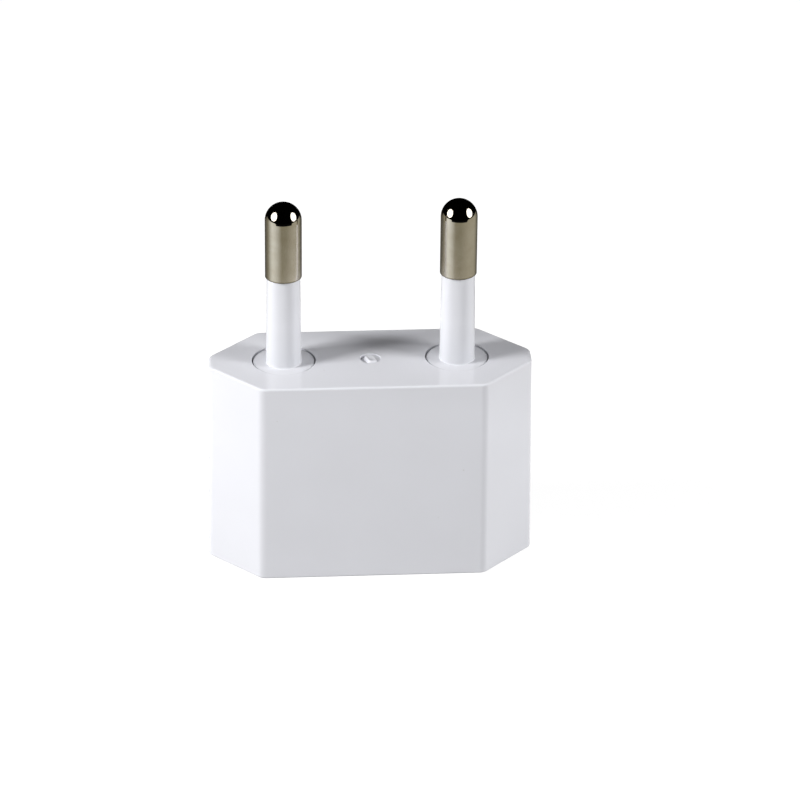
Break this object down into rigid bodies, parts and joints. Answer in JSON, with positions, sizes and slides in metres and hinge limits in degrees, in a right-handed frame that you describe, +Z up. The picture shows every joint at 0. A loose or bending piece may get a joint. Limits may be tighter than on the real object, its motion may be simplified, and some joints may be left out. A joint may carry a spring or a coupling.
{
  "type": "plug adapter",
  "caption": "Travel plug adapter with a white hexagonal moulded body, round sleeved pins on one face and slots for flat blades in the other.",
  "frame": {"origin": "centre of the socket face, on which the adapter stands", "axes": "+Z up along the pins, X along the row of pins, -Y out of the broad side that the picture shows"},
  "size_m": [0.036, 0.0144, 0.0424],
  "materials": {
    "shell_plastic": "glossy white moulded plastic",
    "cover_plastic": "white moulded plastic, slightly duller than the shell",
    "sleeve_plastic": "white moulded insulating sleeve",
    "pin_nickel": "turned brass with satin nickel plating",
    "contact_bronze": "stamped spring bronze strip"
  },
  "bodies": {
    "root": {"housing": "shell_plastic", "socket_cover": "cover_plastic", "pin_left": "pin_nickel", "pin_right": "pin_nickel", "pin_sleeve_left": "sleeve_plastic", "pin_sleeve_right": "sleeve_plastic", "contact_left": "contact_bronze", "contact_right": "contact_bronze"}
  },
  "joints": []
}
